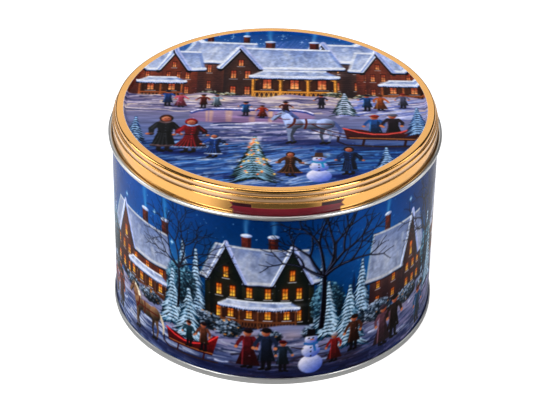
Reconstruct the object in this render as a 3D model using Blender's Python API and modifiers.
"""A round slip-lid cookie tin: a rolled wall, a base plate double-seamed to its foot, and a drawn lid.

Every piece is one sheet of tinplate. Its section is drawn once, as the middle line of the sheet, then turned
about the Z axis and thickened. The origin is the centre of the foot, on the surface that the tin stands on.
"""

from math import cos, pi, radians, sin

import bpy

MM = 0.001
SEGMENTS = 64

# Driving dimensions, in millimetres. Radii and heights are of the outer face.
SHEET = 0.25
BODY_RADIUS = 100.0
NECK_RADIUS = 99.0
LID_SKIRT_RADIUS = 99.6
LID_HEIGHT = 136.8
LID_CURL_FOOT = 119.0
PICTURE_RADIUS = 92.5
PICTURE_RECESS = 1.2
SEAM_HEIGHT = 4.2
SEAM_GAP = 0.2

HALF = SHEET / 2


def arc(centre, radius, start, end, steps):
    """Points of an arc in the (radius, height) plane, from start to end degrees."""
    turn = (end - start) / steps
    angles = [radians(start + turn * i) for i in range(steps + 1)]
    return [(centre[0] + radius * cos(a), centre[1] + radius * sin(a)) for a in angles]


def blend(start, end, steps):
    """Points of an S-shaped pressing between two (radius, height) points, level or upright at both ends."""
    points = []
    for i in range(steps + 1):
        share = i / steps
        eased = (1 - cos(pi * share)) / 2
        points.append((start[0] + (end[0] - start[0]) * share, start[1] + (end[1] - start[1]) * eased))
    return points


def upright_blend(start, end, steps):
    """As blend, for a wall that is upright at both ends."""
    swapped = blend(start[::-1], end[::-1], steps)
    return [(radius, height) for height, radius in swapped]


def make_material(name, colour, metallic, roughness):
    material = bpy.data.materials.new(name)
    material.use_nodes = True
    shader = material.node_tree.nodes["Principled BSDF"]
    shader.inputs["Base Color"].default_value = (*colour, 1.0)
    shader.inputs["Metallic"].default_value = metallic
    shader.inputs["Roughness"].default_value = roughness
    return material


def turned_sheet(name, section, material, collection):
    """One sheet of tinplate turned about Z. The section's points are the middle of the sheet, in millimetres."""
    mesh = bpy.data.meshes.new(name)
    corners = [(radius * MM, 0.0, height * MM) for radius, height in section]
    mesh.from_pydata(corners, [(i, i + 1) for i in range(len(corners) - 1)], [])
    obj = bpy.data.objects.new(name, mesh)
    obj.data.materials.append(material)
    collection.objects.link(obj)

    screw = obj.modifiers.new("turn", "SCREW")
    screw.steps = SEGMENTS
    screw.render_steps = SEGMENTS
    screw.use_merge_vertices = True
    screw.merge_threshold = 0.00001
    screw.use_smooth_shade = True

    solidify = obj.modifiers.new("sheet", "SOLIDIFY")
    solidify.thickness = SHEET * MM
    solidify.offset = 0.0
    solidify.use_even_offset = True
    return obj


def body_section(wall, hook, hook_top, foot):
    """The wall's section, from the rolled rim down the neck and the wall to the hook that locks into the base."""
    neck = NECK_RADIUS - HALF
    rim_roll, rim_height = 0.9, 128.8
    shoulder_top, shoulder_foot = 119.4, 117.6
    bend = (hook - wall) / 2

    rim = arc((neck - rim_roll, rim_height), rim_roll, 290, 0, 9)
    shoulder = upright_blend((neck, shoulder_top), (wall, shoulder_foot), 3)
    fold = arc((wall + bend, foot + HALF + bend), bend, 180, 360, 4)
    return [*rim, *shoulder, *fold, (hook, hook_top)]


def add_side_seam(body, wall, hidden):
    """Joins the lap of the wall's side seam to its inner face, in the middle of one facet at the back."""
    lap_width, lap_foot, lap_top, lap_overlap = 4.0, 5.0, 117.0, 0.1
    facet = 2 * pi / SEGMENTS
    middle = pi / 2 + facet / 2
    inner_face = (wall - HALF) * cos(facet / 2)
    distance = inner_face + lap_overlap - (SHEET + lap_overlap) / 2

    bpy.ops.mesh.primitive_cube_add(size=1.0)
    lap = bpy.context.object
    lap.name = "side_seam_lap"
    lap.scale = ((SHEET + lap_overlap) * MM, lap_width * MM, (lap_top - lap_foot) * MM)
    lap.location = (distance * cos(middle) * MM, distance * sin(middle) * MM, (lap_top + lap_foot) / 2 * MM)
    lap.rotation_euler = (0.0, 0.0, middle)
    for collection in list(lap.users_collection):
        collection.objects.unlink(lap)
    hidden.objects.link(lap)
    lap.hide_render = True
    lap.display_type = "WIRE"

    union = body.modifiers.new("side seam", "BOOLEAN")
    union.operation = "UNION"
    union.object = lap


def base_section(wall, cover_hook, seam, hook_end):
    """The base plate's section, from its centre out to the rim that is folded round the wall's hook."""
    chuck_wall = wall - SHEET - SEAM_GAP
    panel, raised_panel = 3.725, 4.425
    ring_inner, ring_outer, ring_rise = 56.0, 60.0, 0.7
    step_inner, step_outer = 84.0, 86.5
    foot_bend, toe_bend, panel_bend = 0.4, 0.5, 1.0
    top_bend = (seam - cover_hook) / 2

    ring = [
        (ring_inner + (ring_outer - ring_inner) * i / 4, raised_panel - ring_rise * sin(pi * i / 4) ** 2)
        for i in range(5)
    ]
    step = blend((step_inner, raised_panel), (step_outer, panel), 3)
    corner = arc((chuck_wall - panel_bend, panel - panel_bend), panel_bend, 90, 0, 3)
    heel = arc((chuck_wall + foot_bend, HALF + foot_bend), foot_bend, 180, 270, 2)
    toe = arc((seam - toe_bend, HALF + toe_bend), toe_bend, 270, 360, 2)
    top = arc((cover_hook + top_bend, SEAM_HEIGHT - HALF - top_bend), top_bend, 0, 180, 4)
    return [(0.0, raised_panel), *ring, *step, *corner, *heel, *toe, *top, (cover_hook, hook_end)]


def lid_section():
    """The lid's section, from the middle of the picture panel over the stepped rim to the curl under the skirt."""
    skirt = LID_SKIRT_RADIUS - HALF
    ledge = LID_HEIGHT - HALF
    shoulder_round, shoulder_radius = 1.4, 97.5
    groove_round, groove_height = 0.4, ledge - 3.4
    bead_round, bead_radius = 0.55, 98.65
    low_groove_round, low_groove_height = 0.35, ledge - 6.9
    skirt_round = 0.3
    curl_roll, curl_end = 1.35, 490

    recess = blend((PICTURE_RADIUS - 1.6, ledge - PICTURE_RECESS), (PICTURE_RADIUS, ledge), 4)
    shoulder = arc((shoulder_radius - shoulder_round, ledge - shoulder_round), shoulder_round, 90, 0, 3)
    groove = arc((shoulder_radius + groove_round, groove_height + groove_round), groove_round, 180, 270, 2)
    bead = arc((bead_radius - bead_round, groove_height - bead_round), bead_round, 90, 0, 2)
    low_centre = (bead_radius + low_groove_round, low_groove_height + low_groove_round)
    low_groove = arc(low_centre, low_groove_round, 180, 270, 2)
    corner = arc((skirt - skirt_round, low_groove_height - skirt_round), skirt_round, 90, 0, 2)
    curl_centre = (skirt + curl_roll, LID_CURL_FOOT + HALF + curl_roll)
    curl = arc(curl_centre, curl_roll, 180, curl_end, 12)
    panel_centre = (0.0, ledge - PICTURE_RECESS)
    return [panel_centre, *recess, *shoulder, *groove, *bead, *low_groove, *corner, *curl]


def main():
    for obj in list(bpy.data.objects):
        bpy.data.objects.remove(obj)
    tin = bpy.data.collections.new("cookie_tin")
    hidden = bpy.data.collections.new("helpers")
    for collection in (tin, hidden):
        bpy.context.scene.collection.children.link(collection)

    printed_wall = make_material("printed_wall", (0.02, 0.09, 0.33), 0.0, 0.3)
    bare_tinplate = make_material("bare_tinplate", (0.66, 0.65, 0.63), 1.0, 0.35)
    gold_lid = make_material("gold_lid", (0.80, 0.50, 0.17), 1.0, 0.3)

    # The double seam's layers, from the wall outwards: wall, base plate's hook, wall's hook, base plate's skirt.
    layer = SHEET + SEAM_GAP
    wall = BODY_RADIUS - HALF
    cover_hook = wall + layer
    body_hook = wall + 2 * layer
    seam = wall + 3 * layer

    body = turned_sheet("body_wall", body_section(wall, body_hook, 3.2, layer), printed_wall, tin)
    add_side_seam(body, wall, hidden)
    turned_sheet("base_plate", base_section(wall, cover_hook, seam, 1.4), bare_tinplate, tin)
    turned_sheet("lid_shell", lid_section(), gold_lid, tin)


main()
